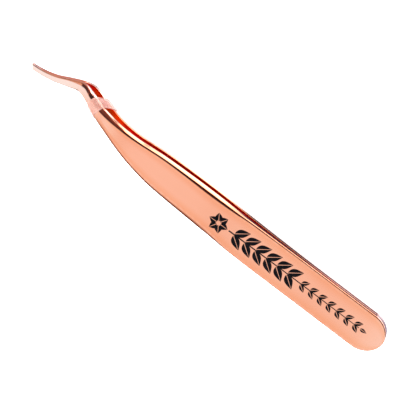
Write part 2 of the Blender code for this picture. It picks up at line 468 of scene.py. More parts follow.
# ---------------------------------------------------------------- shader building


class Signal:
    """A node's output on which Python arithmetic adds Math nodes."""

    def __init__(self, sheet: "NodeSheet", socket: bpy.types.NodeSocket) -> None:
        """Keeps the sheet and the socket."""
        self.sheet = sheet
        self.socket = socket

    def _math(self, operation: str, *values: "Signal | float") -> "Signal":
        """A Math node with this operation on values, in order."""
        inputs = dict(enumerate(values))
        return self.sheet.node("ShaderNodeMath", {"operation": operation}, inputs)

    def __add__(self, other: "Signal | float") -> "Signal":
        """self + other."""
        return self._math("ADD", self, other)

    __radd__ = __add__

    def __sub__(self, other: "Signal | float") -> "Signal":
        """self - other."""
        return self._math("SUBTRACT", self, other)

    def __rsub__(self, other: "Signal | float") -> "Signal":
        """other - self."""
        return self._math("SUBTRACT", other, self)

    def __mul__(self, other: "Signal | float") -> "Signal":
        """self * other."""
        return self._math("MULTIPLY", self, other)

    __rmul__ = __mul__

    def __truediv__(self, other: "Signal | float") -> "Signal":
        """self / other."""
        return self._math("DIVIDE", self, other)

    def __abs__(self) -> "Signal":
        """The value without its sign."""
        return self._math("ABSOLUTE", self)

    def angle_to(self, other: "Signal") -> "Signal":
        """The angle whose tangent is self / other, in radians."""
        return self._math("ARCTAN2", self, other)

    def ease(self, start: float, end: float) -> "Signal":
        """0 at start, 1 at end, smooth and level at both."""
        settings = {"interpolation_type": "SMOOTHSTEP"}
        values = {"Value": self, "From Min": start, "From Max": end}
        return self.sheet.node("ShaderNodeMapRange", settings, values)


class NodeSheet:
    """Adds nodes to one node tree."""

    def __init__(self, tree: bpy.types.NodeTree) -> None:
        """Empties the tree."""
        self.tree = tree
        tree.nodes.clear()

    def node(
        self,
        kind: str,
        settings: dict[str, Any] | None = None,
        values: dict[Any, Any] | None = None,
        out: Any = 0,
    ) -> Signal:
        """Adds a node.

        Args:
            kind: Its type.
            settings: Its own settings, set first; "stops" fills a colour ramp with (place, colour).
            values: Numbers, colours, vectors or Signals for its input sockets, by name or index.
            out: The output wanted, by name or index.

        Returns:
            That output.
        """
        made = self.tree.nodes.new(kind)
        for name, value in (settings or {}).items():
            if name == "stops":
                self._fill_ramp(made.color_ramp, value)
            else:
                setattr(made, name, value)
        for key, value in (values or {}).items():
            socket = self._input(made, key)
            if isinstance(value, Signal):
                self.tree.links.new(value.socket, socket)
            else:
                socket.default_value = value
        outputs = [o for o in made.outputs if o.enabled]
        return Signal(self, made.outputs[out] if isinstance(out, str) else outputs[out])

    @staticmethod
    def _input(made: bpy.types.Node, key: Any) -> bpy.types.NodeSocket:
        """The enabled input of that name or index."""
        if isinstance(key, int):
            return made.inputs[key]
        return next(s for s in made.inputs if s.enabled and s.name == key)

    @staticmethod
    def _fill_ramp(ramp: bpy.types.ColorRamp, stops: list[tuple[float, Colour]]) -> None:
        """Gives a colour ramp its stops, in rising order."""
        while len(ramp.elements) > 1:
            ramp.elements.remove(ramp.elements[-1])
        for i, (place, colour) in enumerate(stops):
            element = ramp.elements[0] if i == 0 else ramp.elements.new(place)
            element.position = place
            element.color = (*colour, 1.0)

    def tint(self, share: Signal | float, first: Any, second: Any, how: str = "MIX") -> Signal:
        """Mixes two colours.

        Args:
            share: How far from first to second.
            first: Colour or Signal.
            second: Colour or Signal.
            how: The blend type.

        Returns:
            The mixed colour.
        """
        values = {"Factor": share, "A": self._rgba(first), "B": self._rgba(second)}
        return self.node("ShaderNodeMix", {"data_type": "RGBA", "blend_type": how}, values)

    @staticmethod
    def _rgba(colour: Any) -> Any:
        """A colour with its alpha, or the Signal as it is."""
        return colour if isinstance(colour, Signal) else (*colour, 1.0)

    def place(self, stretch: Triple = (1.0, 1.0, 1.0)) -> Signal:
        """Object coordinates, scaled by stretch."""
        here = self.node("ShaderNodeTexCoord", out="Object")
        return self.node("ShaderNodeMapping", values={"Vector": here, "Scale": stretch})

    def layer(self, name: str) -> Signal:
        """A value that each point of the piece carries."""
        return self.node("ShaderNodeAttribute", {"attribute_name": name}, out="Fac")

    def pattern(self, noise: "Pattern") -> Signal:
        """Fractal noise between 0 and 1, eased where the pattern has a cut.

        Args:
            noise: The pattern.

        Returns:
            Its value.
        """
        value = self.node("ShaderNodeTexNoise", values={
            "Vector": self.place(noise.stretch), "Scale": noise.scale,
            "Detail": noise.detail, "Roughness": noise.roughness,
        })
        return value.ease(*noise.cut) if noise.cut else value

    def relief(
        self, height: Signal, strength: float, depth: float, under: Signal | None = None
    ) -> Signal:
        """A bump's normal.

        Args:
            height: Height from 0 to 1.
            strength: Share of it that shows.
            depth: Metres for a height of 1.
            under: A normal that it adds to.

        Returns:
            The normal.
        """
        values: dict[Any, Any] = {"Strength": strength, "Distance": depth, "Height": height}
        if under is not None:
            values["Normal"] = under
        return self.node("ShaderNodeBump", values=values)


@dataclass(frozen=True)
class Pattern:
    """A noise pattern.

    Its scale is cells to the metre, detail is octaves and roughness the share that each keeps;
    stretch draws it out along an axis, and cut is the pair of values that it is eased between.
    """

    scale: float
    detail: float = 2.0
    roughness: float = 0.5
    stretch: Triple = (1.0, 1.0, 1.0)
    cut: tuple[float, float] | None = None


def finish_material(name: str) -> tuple[bpy.types.Material, NodeSheet]:
    """A new material and the sheet of its emptied node tree."""
    material = bpy.data.materials.new(name)
    material.use_nodes = True
    return material, NodeSheet(material.node_tree)


def close_material(sheet: NodeSheet, values: dict[str, Any]) -> None:
    """Adds the Principled shader with these inputs and the output."""
    shader = sheet.node("ShaderNodeBsdfPrincipled", values=values)
    output = sheet.tree.nodes.new("ShaderNodeOutputMaterial")
    sheet.tree.links.new(shader.socket, output.inputs["Surface"])


# ---------------------------------------------------------------- finishes


@dataclass(frozen=True)
class RoseGold:
    """Mirror-polished steel under a rose-gold coating: fine lines, faint smears and worn edges, and
    reflections painted into its colour: red on the inner faces, dark on the sides and pale at the
    tips.
    """

    base: Colour = (0.95, 0.43, 0.28)
    deep: Colour = (0.93, 0.355, 0.19)
    worn: Colour = (0.96, 0.52, 0.38)
    # Painted reflection: the tips' faces turn towards the bright surroundings, laid on through the
    # point layer.
    pale: Colour = (0.97, 0.70, 0.60)
    # Painted reflection: the red-orange that light takes on bouncing between the arms, laid on the
    # inner faces through the inside layer.
    inner: Colour = (0.93, 0.30, 0.06)
    # Painted dark reflection and shade on the sides of the strip, turning into a lighter painted
    # mauve reflection at the heel, and where along the frame's X this paint comes in, is full,
    # begins to turn into the heel's and has done so.
    painted_dark_side: Colour = (0.050, 0.034, 0.040)
    painted_heel_side: Colour = (0.32, 0.165, 0.15)
    painted_side_span: tuple[float, float, float, float] = (0.002, 0.013, 0.028, 0.042)
    cloud: Pattern = Pattern(70.0, 3.0)
    smears: Pattern = Pattern(210.0, 4.0, 0.6, (0.55, 1.0, 1.0), (0.46, 0.72))
    lines: Pattern = Pattern(5200.0, 3.0, 0.65, (0.02, 1.0, 1.0))
    scratches: Pattern = Pattern(1900.0, 2.0, 0.5, (0.05, 1.0, 1.0), (0.66, 0.74))
    ripple: Pattern = Pattern(330.0, 1.0, 0.5, (0.4, 1.0, 1.0))
    wear: Pattern = Pattern(900.0, cut=(0.35, 0.65))
    # Where across the face the colour deepens, by how much, and how much it drifts.
    deepening: tuple[float, float] = (0.35, 0.98)
    deep_share: float = 0.85
    drift: float = 0.35
    worn_share: float = 0.55
    # Roughness of the polish, and what smears, lines, scratches and rubbed edges add to it.
    roughness: float = 0.085
    smear: float = 0.055
    line: float = 0.030
    scratch: float = 0.05
    rubbing: float = 0.05
    # Strength and depth of the relief.
    line_relief: tuple[float, float] = (0.06, 0.004 * MM)
    ripple_relief: tuple[float, float] = (0.10, 0.02 * MM)

    def material(self, name: str) -> bpy.types.Material:
        """Builds the material from the layers that SpringArm.surface describes.

        Args:
            name: The material's name.

        Returns:
            The material.
        """
        material, sheet = finish_material(name)
        lines = sheet.pattern(self.lines)
        band = abs(sheet.layer("across")).ease(*self.deepening)
        edge = sheet.layer("rim")
        drift = (sheet.pattern(self.cloud) - 0.5) * self.drift
        tinted = sheet.tint(band * self.deep_share + drift, self.base, self.deep)
        rubbed = sheet.tint(edge * self.worn_share * sheet.pattern(self.wear), tinted, self.worn)
        # Painted pale reflection on the tips.
        pale_tips_painted = sheet.tint(sheet.layer("point"), rubbed, self.pale)
        # Painted red reflection on the inner faces.
        inside_reflection_painted = sheet.tint(sheet.layer("inside"), pale_tips_painted, self.inner)
        along = sheet.node("ShaderNodeSeparateXYZ", values={0: sheet.place()}, out="X")
        # Painted dark reflection and shade on the sides, through the flank layer, lighter towards
        # the heel.
        start, full, heel, end = self.painted_side_span
        painted_dark_side = sheet.tint(along.ease(heel, end), self.painted_dark_side, self.painted_heel_side)
        colour = sheet.tint(along.ease(start, full) * sheet.layer("flank"), inside_reflection_painted, painted_dark_side)
        marks = sheet.pattern(self.smears) * self.smear + lines * self.line
        marks = marks + sheet.pattern(self.scratches) * self.scratch + edge * self.rubbing
        fine = sheet.relief(lines, *self.line_relief)
        normal = sheet.relief(sheet.pattern(self.ripple), *self.ripple_relief, fine)
        close_material(sheet, {
            "Base Color": colour, "Metallic": 1.0,
            "Roughness": marks + self.roughness, "Normal": normal,
        })
        return material


@dataclass(frozen=True)
class WeldMetal:
    """Weld metal ground flush and coated: the arms' colour, duller, with fine lines and pits."""

    base: Colour = (0.62, 0.26, 0.17)
    heat: Colour = (0.40, 0.17, 0.13)
    patches: Pattern = Pattern(420.0, 3.0, cut=(0.35, 0.7))
    grinding: Pattern = Pattern(6000.0, 2.0, 0.5, (1.0, 1.0, 0.05))
    pits: Pattern = Pattern(3500.0, 1.0, cut=(0.70, 0.78))
    # Roughness of the metal, and what its lines and pits add to it.
    roughness: float = 0.26
    line: float = 0.18
    pit: float = 0.25
    pit_depth: float = 0.8
    relief: tuple[float, float] = (0.35, 0.01 * MM)

    def material(self, name: str) -> bpy.types.Material:
        """Builds the material.

        Args:
            name: The material's name.

        Returns:
            The material.
        """
        material, sheet = finish_material(name)
        lines, pits = sheet.pattern(self.grinding), sheet.pattern(self.pits)
        close_material(sheet, {
            "Base Color": sheet.tint(sheet.pattern(self.patches), self.base, self.heat),
            "Metallic": 1.0,
            "Roughness": lines * self.line + pits * self.pit + self.roughness,
            "Normal": sheet.relief(lines - pits * self.pit_depth, *self.relief),
        })
        return material


@dataclass(frozen=True)
class KeeperRubber:
    """Clear soft silicone, milky where it is thick and at its rims, with a satin skin; its peach
    tint is a painted reflection of the rose gold that shows through it.
    """

    # The peach in both colours is a painted reflection of the rose gold showing through the clear
    # silicone; the milkiness is the silicone's own.
    clear: Colour = (0.56, 0.30, 0.24)
    milky: Colour = (0.64, 0.40, 0.34)
    cloud: Pattern = Pattern(650.0, 3.0, cut=(0.3, 0.7))
    skin: Pattern = Pattern(5200.0, 3.0)
    # Share of the milkiness and of the cover that the clouds give, the rims giving the rest.
    cloud_milk: float = 0.6
    cloud_cover: float = 0.45
    least_cover: float = 0.30
    most_cover: float = 0.52
    roughness: float = 0.24
    skin_rough: float = 0.16
    skin_height: float = 0.4
    relief: tuple[float, float] = (0.22, 0.03 * MM)
    bending: float = 1.41
    specular: float = 0.25

    def material(self, name: str) -> bpy.types.Material:
        """Builds the material; the layer "rim" is 1 at the band's two rims.

        Args:
            name: The material's name.

        Returns:
            The material.
        """
        material, sheet = finish_material(name)
        cloud, skin, rim = sheet.pattern(self.cloud), sheet.pattern(self.skin), sheet.layer("rim")
        milk = cloud * self.cloud_milk + rim * (1.0 - self.cloud_milk)
        thick = cloud * self.cloud_cover + rim * (1.0 - self.cloud_cover)
        close_material(sheet, {
            "Base Color": sheet.tint(milk, self.clear, self.milky),
            "Roughness": skin * self.skin_rough + self.roughness,
            "Alpha": thick * (self.most_cover - self.least_cover) + self.least_cover,
            "Normal": sheet.relief(skin * self.skin_height + cloud, *self.relief),
            "IOR": self.bending, "Specular IOR Level": self.specular,
        })
        return material


@dataclass(frozen=True)
class PadInk:
    """Black pad-printing ink, satin, a little thin in places."""

    full: Colour = (0.0025, 0.0022, 0.003)
    thin: Colour = (0.008, 0.006, 0.007)
    cover: Pattern = Pattern(1400.0, 4.0, cut=(0.45, 0.75))
    grain: Pattern = Pattern(9000.0, 2.0)
    # Roughness of the ink, and what its grain and its thin places add to it.
    roughness: float = 0.48
    grain_rough: float = 0.15
    thin_rough: float = 0.10
    relief: tuple[float, float] = (0.25, 0.006 * MM)
    specular: float = 0.03

    def material(self, name: str) -> bpy.types.Material:
        """Builds the material.

        Args:
            name: The material's name.

        Returns:
            The material.
        """
        material, sheet = finish_material(name)
        cover, grain = sheet.pattern(self.cover), sheet.pattern(self.grain)
        close_material(sheet, {
            "Base Color": sheet.tint(cover, self.full, self.thin),
            "Roughness": grain * self.grain_rough + cover * self.thin_rough + self.roughness,
            "Normal": sheet.relief(grain, *self.relief),
            "Specular IOR Level": self.specular,
        })
        return material


# ---------------------------------------------------------------- the pieces


@dataclass
class SpringArm:
    """One spring arm from tip to heel, with its bevels, rims and crowned, polished faces."""

    side: Side
    form: ArmForm
    lay: Lay
    tip_round: float = 0.22 * MM
    tip_shrink: float = 0.34
    tip_rows: int = 7
    # First and last of the close rows, their spacing, and the first of the handle's rows.
    close_rows: Triple = (0.5 * MM, 46.0 * MM, 0.32 * MM)
    handle_from: float = 46.2 * MM
    handle_rows: int = 96
    heel_turn: float = math.radians(87.0)
    heel_rows: int = 30
    rim_reach: float = 0.10
    # Distances from the tip over which the painted pale reflection of the tips fades out.
    pale_reach: tuple[float, float] = (9.0 * MM, 27.0 * MM)
    # Shares of the thickness: above which the crown counts, and where the side's painted dark
    # reflection and shade is full, begins to fade and is gone. Then the shares of the inner break
    # where the painted red reflection of the inside fades out.
    outside_from: float = 0.6
    flank_reach: tuple[float, float, float] = (0.06, 0.72, 0.80)
    inside_reach: tuple[float, float] = (0.2, 0.9)
    arc_points: int = 6
    edge_points: tuple[int, ...] = (1, 1, 2, 3, 15, 3, 2, 1, 1, 9)
    # Fillets: inner break, side, shoulder, facet break, face edge, and the same again mirrored.
    fillets: tuple[float, ...] = (0.07, 0.07, 0.10, 0.22, 0.26)
    blend_from: float = 101.0 * MM
    blend_to: float = 70.0 * MM

    def rows(self) -> tuple[Array, Array]:
        """Where the cross-sections stand.

        Returns:
            Distances from the tip, close together up to the neck, and angles round the heel.
        """
        tip = self.tip_round * (1.0 - np.cos(np.linspace(0.0, math.pi / 2, self.tip_rows)))
        handle = np.linspace(self.handle_from, self.form.straight_end, self.handle_rows)
        x = np.concatenate([tip, np.arange(*self.close_rows), handle])
        return x, np.linspace(0.0, self.heel_turn, self.heel_rows)

    def corners(self) -> tuple[Array, Array]:
        """The ten corners of every cross-section, and the sections' distances from the tip.

        From the inner face outwards: inner break, side, shoulder, facet break and face edge of the
        upper edge, then the same of the lower edge the other way round. The bevel's first facet
        leaves the face at facet_angle and its second falls steeply to the shoulder.

        Returns:
            Corners, rows by 10 by 3, and the distances.
        """
        form = self.form
        low, high = form.edges(*self.rows())
        x = 0.5 * (low[:, 0] + high[:, 0])
        inner = form.half_gap(x)
        outer = inner + form.column(3, x)
        lower, upper = form.bevels(x, high[:, 1] - low[:, 1])
        share = form.facet_share(x)

        def corner(edge: Array, inset: Array | float, z: Array) -> Array:
            """Edge points moved inwards by inset, at height z."""
            moved = edge[:, :2] + edge[:, 2:] * np.broadcast_to(inset, x.shape)[:, None]
            return np.column_stack([moved, self.side * z])

        def flank(edge: Array, width: Array) -> list[Array]:
            """One edge's five corners, from the inner face out, for a bevel of that width."""
            drop = form.bevel_slope * 0.5 * (lower + width)
            shoulder = np.maximum(outer - drop, inner + form.least_side)
            wanted = math.tan(form.facet_angle) * share * width
            first = np.minimum(wanted, form.steepest_share * (outer - shoulder))
            return [
                corner(edge, form.inner_edge, inner),
                corner(edge, 0.0, inner + form.inner_edge),
                corner(edge, 0.0, shoulder),
                corner(edge, (1.0 - share) * width, outer - first),
                corner(edge, width, outer),
            ]

        return np.stack([*flank(high, upper), *flank(low, lower)[::-1]], axis=1), x

    def surface(self) -> tuple[Array, dict[str, Array]]:
        """The arm's surface: filleted sections, crowned on the outer face and drawn in at the tip.

        The crown adds crown (1 - w^2) over the face's width w from -1 to 1, and the tip's first
        rows shrink towards their middle by a quarter circle.

        Returns:
            Points rows by around by 3 starting in the middle of the inner face, and the layers that
            the finish reads: "across" from -1 to 1 over the outer face, "rim" near its edges,
            "inside" on the inner face, where a red reflection is painted, "flank" on the sides,
            where a dark reflection and shade are painted, and "point" towards the tip, where a pale
            reflection is painted.
        """
        form = self.form
        corners, x = self.corners()
        fillets = np.array([*self.fillets, *self.fillets[::-1]]) * MM
        radii = np.broadcast_to(fillets, corners.shape[:2])
        loops = filleted_loop(corners, radii, self.arc_points, list(self.edge_points))
        middle_of_inner = self.edge_points[-1] // 2 + 1
        loops = np.roll(loops, middle_of_inner, axis=1)
        top, bottom = corners[:, 4, 1], corners[:, 5, 1]
        half = 0.5 * (top - bottom)
        across = (loops[:, :, 1] - 0.5 * (top + bottom)[:, None]) / half[:, None]
        inner, thick = form.half_gap(x)[:, None], form.column(3, x)[:, None]
        outside = self.side * loops[:, :, 2] > inner + self.outside_from * thick
        rise = form.crown(x, half)[:, None] * np.clip(1.0 - across**2, 0.0, 1.0)
        loops[:, :, 2] += self.side * rise * outside
        at = np.clip(self.rows()[0] / self.tip_round, 0.0, 1.0)
        drawn = np.ones(len(loops))
        drawn[: len(at)] = 1.0 - self.tip_shrink * (1.0 - np.sqrt(1.0 - (1.0 - at) ** 2))
        centre = corners.mean(axis=1, keepdims=True)
        loops = centre + (loops - centre) * drawn[:, None, None]
        height = self.side * loops[:, :, 2] - inner
        from_edge = np.abs(np.abs(across) - 1.0) / self.rim_reach
        full, fading, none = self.flank_reach
        flank = smoothstep(height / thick, 0.0, full)
        return loops, {
            "across": np.clip(across, -1.0, 1.0) * outside,
            "rim": np.clip(1.0 - from_edge, 0.0, 1.0) * outside,
            "inside": 1.0 - smoothstep(height / form.inner_edge, *self.inside_reach),
            "flank": flank * (1.0 - smoothstep(height / thick, fading, none)),
            "point": np.broadcast_to(1.0 - smoothstep(x, *self.pale_reach)[:, None], height.shape),
        }

    def build(self, name: str) -> bpy.types.Object:
        """Makes the arm's mesh.

        Args:
            name: The piece's name.

        Returns:
            The object.
        """
        loops, layers = self.surface()
        faces = tube_faces(loops.shape[0], loops.shape[1])
        return mesh_piece(name, self.lay.place(loops), faces, layers)

    def dress(self, piece: bpy.types.Object, material: bpy.types.Material) -> None:
        """Gives the arm its finish and hides the imported arm; the lower arm gets its body and the
        upper arm has its transform baked into its mesh.
        """
        piece.data.materials.append(material)
        if self.side is Side.UPPER:
            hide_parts("upper_arm_blade", "upper_arm_heel")
            bend_with_arm(piece, self.lay, self.blend_from, self.blend_to)
        else:
            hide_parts("lower_arm")
            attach(piece, "lower_arm")


def bend_with_arm(piece: bpy.types.Object, lay: Lay, start: float, end: float) -> None:
    """Bakes a piece's transform into its mesh; it finds the points at distances start and end from
    the tip but bends nothing.
    """
    first, last = lay.place([(start, 0.0, 0.0), (end, 0.0, 0.0)])
    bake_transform(piece)


@dataclass
class HeelWeld:
    """The seam of weld metal between the heels, a hair inside their outline, with a hollow rim."""

    form: ArmForm
    lay: Lay
    front: float = 101.0 * MM
    thickness: float = 0.20 * MM
    inset: float = 0.10 * MM
    hollow: float = 0.04 * MM
    turn: float = math.radians(86.0)
    rows: int = 30
    levels: int = 7

    def build(self, name: str) -> bpy.types.Object:
        """Makes the seam.

        Across its thickness, u from -1 to 1, the rim is drawn in by hollow (1 - u^2).

        Args:
            name: The piece's name.

        Returns:
            The object.
        """
        straight = np.linspace(self.front, self.form.straight_end, self.rows)
        low, high = self.form.edges(straight, np.linspace(0.0, self.turn, self.rows))
        u = np.linspace(-1.0, 1.0, self.levels)
        inset = self.inset + self.hollow * (1.0 - u**2)
        z = 0.5 * self.thickness * u

        def flank(edge: Array) -> Array:
            """An edge's points at each level of the thickness."""
            moved = edge[:, None, :2] + edge[:, None, 2:] * inset[None, :, None]
            heights = np.broadcast_to(z[None, :, None], (*moved.shape[:2], 1))
            return np.concatenate([moved, heights], axis=2)

        right, left = flank(high), flank(low)[:, ::-1]
        bottom = 0.5 * (right[:, :1] + left[:, -1:])
        top = 0.5 * (right[:, -1:] + left[:, :1])
        loops = np.concatenate([bottom, right, top, left], axis=1)
        faces = tube_faces(loops.shape[0], loops.shape[1])
        return mesh_piece(name, self.lay.place(loops), faces)

    def dress(self, piece: bpy.types.Object, material: bpy.types.Material) -> None:
        """Gives the seam its finish and its body."""
        piece.data.materials.append(material)
        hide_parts("heel_weld")
        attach(piece, "lower_arm")


@dataclass
class KeeperBand:
    """The soft clear band that goes once round both arms at the neck."""

    form: ArmForm
    lay: Lay
    centre_x: float = 21.4 * MM
    tilt: float = math.radians(16.0)
    width: float = 3.6 * MM
    wall: float = 0.50 * MM
    clearance: float = 0.06 * MM
    corner: float = 0.75 * MM
    bulge: float = 0.07 * MM
    # How far the band leans back towards the heel for each unit that it goes down, and the neck's
    # slope, Y for each unit of X, that it keeps to in doing so.
    lean: float = 0.42
    neck_slope: float = -0.40
    around: int = 96
    across: int = 13
    corner_points: int = 15
    rim_points: int = 7
    rim_power: int = 6
    # Steps in which reach closes in, and places along the band where its depth is looked for.
    closing_steps: int = 12
    depth_places: int = 18
    stretch_reach: float = 0.4 * MM

    def frame(self) -> tuple[Array, Array, Array]:
        """The neck's middle at the band, and the directions along and across it."""
        x = np.array([self.centre_x])
        middle = 0.5 * float(self.form.column(1, x)[0] + self.form.column(2, x)[0])
        along = np.array([math.cos(self.tilt), -math.sin(self.tilt), 0.0])
        across = np.array([math.sin(self.tilt), math.cos(self.tilt), 0.0])
        return np.array([self.centre_x, middle, 0.0]), along, across

    def reach(self, u: Array, column: int) -> Array:
        """How far across the neck an edge lies, at distances u along it.

        It is closed in on step by step: v becomes the edge's place at the point found last, divided
        by the across direction's own share of Y.

        Args:
            u: Distances along the neck from the band's middle.
            column: The edge's column in the station table.

        Returns:
            The distances across.
        """
        centre, along, across = self.frame()
        v = np.zeros_like(u)
        for _ in range(self.closing_steps):
            edge = self.form.column(column, centre[0] + along[0] * u + across[0] * v)
            v = (edge - centre[1] - along[1] * u) / across[1]
        return v

    def outline(self, u: Array, spread: Array) -> Array:
        """Rounded rectangles round both arms, one to each distance along the neck.

        In the plane across the neck each is a rectangle spread outwards from the arms, with round
        corners. Its underside keeps parallel to what the tweezers lie on.

        Args:
            u: Distances along the neck from the band's middle.
            spread: How far each outline stands off the arms.

        Returns:
            Points, outlines by around by 3.
        """
        centre, along, across = self.frame()
        low, high = self.reach(u, 1) - spread, self.reach(u, 2) + spread
        x = centre[0] + along[0] * u
        top = self.form.half_gap(x) + self.form.column(3, x) + spread
        span = np.linspace(-self.width, self.width, self.depth_places)
        slope = math.tan(self.lay.turn)
        below = self.form.half_gap(centre[0] + span) + self.form.column(3, centre[0] + span)
        depth = float(np.max(below + slope * span))
        bottom = self.bulge - depth - spread + slope * (along[0] * u + self.lean * depth)
        zero = np.zeros_like(u)
        sides = ((high, top), (low, top), (low, bottom), (high, bottom))
        flat = np.stack([np.stack([v, z, zero], axis=-1) for v, z in sides], axis=1)
        radii = np.broadcast_to((self.corner + spread)[:, None] * ROUND_FILLET, flat.shape[:2])
        spans = [self.around // 4 - self.corner_points] * 4
        loops = filleted_loop(flat, radii, self.corner_points, spans)
        down_back = np.array([self.lean, self.lean * self.neck_slope, -1.0])
        level = centre + along * u[:, None, None] + across * loops[:, :, :1]
        return level - down_back * loops[:, :, 1:2]

    def build(self, name: str) -> bpy.types.Object:
        """Makes the band: a wall profile carried round the arms.

        Its outside bulges by bulge (1 - t^2) over its width, t from -1 to 1, between half round
        rims.

        Args:
            name: The piece's name.

        Returns:
            The object.
        """
        half = 0.5 * self.width
        rim = 0.5 * self.wall
        t = np.linspace(-1.0, 1.0, self.across)
        turn = np.linspace(0.0, math.pi, self.rim_points + 2)[1:-1]
        out = self.clearance + self.wall
        flat, end = t * (half - rim), half - rim + rim * np.sin(turn)
        u = np.concatenate([flat, end, -flat, -end])
        spread = np.concatenate([
            out + self.bulge * (1.0 - t**2),
            self.clearance + rim + rim * np.cos(turn),
            np.full(self.across, self.clearance),
            self.clearance + rim - rim * np.cos(turn),
        ])
        loops = self.outline(u, spread)
        rims = np.repeat(np.clip(np.abs(u) / half, 0.0, 1.0) ** self.rim_power, loops.shape[1])
        faces = tube_faces(loops.shape[0], loops.shape[1], ring=True)
        return mesh_piece(name, self.lay.place(loops), faces, {"rim": rims})

    def dress(self, piece: bpy.types.Object, material: bpy.types.Material) -> None:
        """Gives the band its finish, hides the imported ring and bakes the band's transform into
        its mesh.
        """
        piece.data.materials.append(material)
        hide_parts("keeper_ring")
        centre = self.frame()[0]
        rise = np.array([0.0, 0.0, float(self.form.half_gap(self.centre_x)) + self.stretch_reach])
        first, last = self.lay.place([centre - rise, centre + rise])
        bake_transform(piece)


@dataclass(frozen=True)
class LeafKind:
    """One kind of printed leaf: how far its foot is off the stem, its angle to it, and its size.

    Lengths are in millimetres.
    """

    foot: float
    spread: float
    length: float
    half_width: float

    def at(self, x: float, y: float, heading: float) -> tuple[float, ...]:
        """A leaf of this kind with its foot at x, y, as x, y, heading, length and half width."""
        return x, y, heading, self.length, self.half_width


@dataclass
class PrintedSprig:
    """A plain leafy sprig printed in black on the handle: a blossom, large leaves, small ones."""

    form: ArmForm
    lay: Lay
    # Distances from the tip, in millimetres: the blossom's middle, the first and last pair of large
    # and of small leaves, the bud, and the stem's two ends.
    blossom_at: float = 65.2
    large_span: tuple[float, float] = (70.4, 88.1)
    small_span: tuple[float, float] = (92.7, 110.6)
    bud_at: float = 112.6
    stem_span: tuple[float, float] = (68.6, 112.3)
    petals: int = 6
    large_pairs: int = 6
    small_pairs: int = 7
    petal: LeafKind = LeafKind(0.55, 0.0, 2.45, 1.15)
    large: LeafKind = LeafKind(0.32, math.radians(38.0), 4.5, 1.32)
    small: LeafKind = LeafKind(0.24, math.radians(36.0), 2.5, 0.74)
    bud: LeafKind = LeafKind(0.0, 0.0, 2.2, 0.62)
    stem_half: float = 0.20
    stem_thinning: float = 0.45
    vein: float = 0.09
    leaf_ends: tuple[float, float] = (0.015, 0.985)
    film: float = 0.006 * MM
    lift: float = 0.003 * MM
    steps: tuple[int, int] = (15, 5)

    def leaves(self) -> Array:
        """The sprig's petals and leaves, pair by pair towards the heel, one row to each."""
        petal, found = self.petal, []
        for angle in np.arange(self.petals) * math.tau / self.petals:
            x, y = petal.foot * math.cos(angle), petal.foot * math.sin(angle)
            found.append(petal.at(self.blossom_at + x, y, angle))
        for kind, span, pairs in (
            (self.large, self.large_span, self.large_pairs),
            (self.small, self.small_span, self.small_pairs),
        ):
            for x in np.linspace(*span, pairs):
                found += [kind.at(x, kind.foot * s, kind.spread * s) for s in (1, -1)]
        return np.array([*found, self.bud.at(self.bud_at, 0.0, 0.0)])

    def leaf_halves(self) -> Array:
        """The flat outlines of all leaf halves.

        Along a leaf, s from 0 to 1, its half width is W sin(pi s^0.8) (1 - 0.25 s). Each half runs
        to that width from a bare vein, which takes at most a third of it and narrows by half
        towards the leaf's point.

        Returns:
            Millimetres, patches by along by across by 2.
        """
        leaves = self.leaves()
        s = np.linspace(*self.leaf_ends, self.steps[0])[None, :, None]
        t = np.linspace(0.0, 1.0, self.steps[1])[None, None, :]
        x, y, heading, length, half = (leaves[:, k, None, None] for k in range(5))
        full = half * np.sin(math.pi * s**0.8) * (1.0 - 0.25 * s)
        bare = self.vein * np.minimum(1.0, full / (3.0 * self.vein)) * (1.0 - 0.5 * s)
        v = bare + (full - bare) * t
        u = np.broadcast_to(length * s, v.shape)
        halves = []
        for side in (1.0, -1.0):
            halves.append(np.stack([
                x + u * np.cos(heading) - side * v * np.sin(heading),
                y + u * np.sin(heading) + side * v * np.cos(heading),
            ], axis=-1))
        return np.concatenate(halves)

    def stem(self) -> Array:
        """The stem as one patch of the leaves' grid, a strip that thins evenly to the heel."""
        s = np.linspace(0.0, 1.0, self.steps[0])[None, :, None]
        t = np.linspace(-1.0, 1.0, self.steps[1])[None, None, :]
        first, last = self.stem_span
        v = self.stem_half * (1.0 - self.stem_thinning * s) * t
        return np.stack([np.broadcast_to(first + (last - first) * s, v.shape), v], axis=-1)

    def build(self, name: str) -> bpy.types.Object:
        """Makes the print: a film that follows the crowned face, a hair above it.

        Args:
            name: The piece's name.

        Returns:
            The object.
        """
        flat = np.concatenate([self.leaf_halves(), self.stem()]) * MM
        x, y = flat[..., 0], flat[..., 1]
        base = self.form.face_height(x.ravel(), y.ravel()).reshape(x.shape) + self.lift
        sheets = np.stack([np.stack([x, y, z], -1) for z in (base + self.film, base)], axis=1)
        faces = slab_faces(len(flat), *self.steps)
        return mesh_piece(name, self.lay.place(sheets), faces)

    def dress(
        self, piece: bpy.types.Object, material: bpy.types.Material, arm: SpringArm
    ) -> None:
        """Gives the print its ink, shades it flat and bakes its transform into its mesh."""
        piece.data.materials.append(material)
        piece.data.shade_flat()
        bend_with_arm(piece, self.lay, arm.blend_from, arm.blend_to)


# ---------------------------------------------------------------- studio


class Tone(Enum):
    """How the studio's light values become the picture's."""

    PLAIN = "Standard"


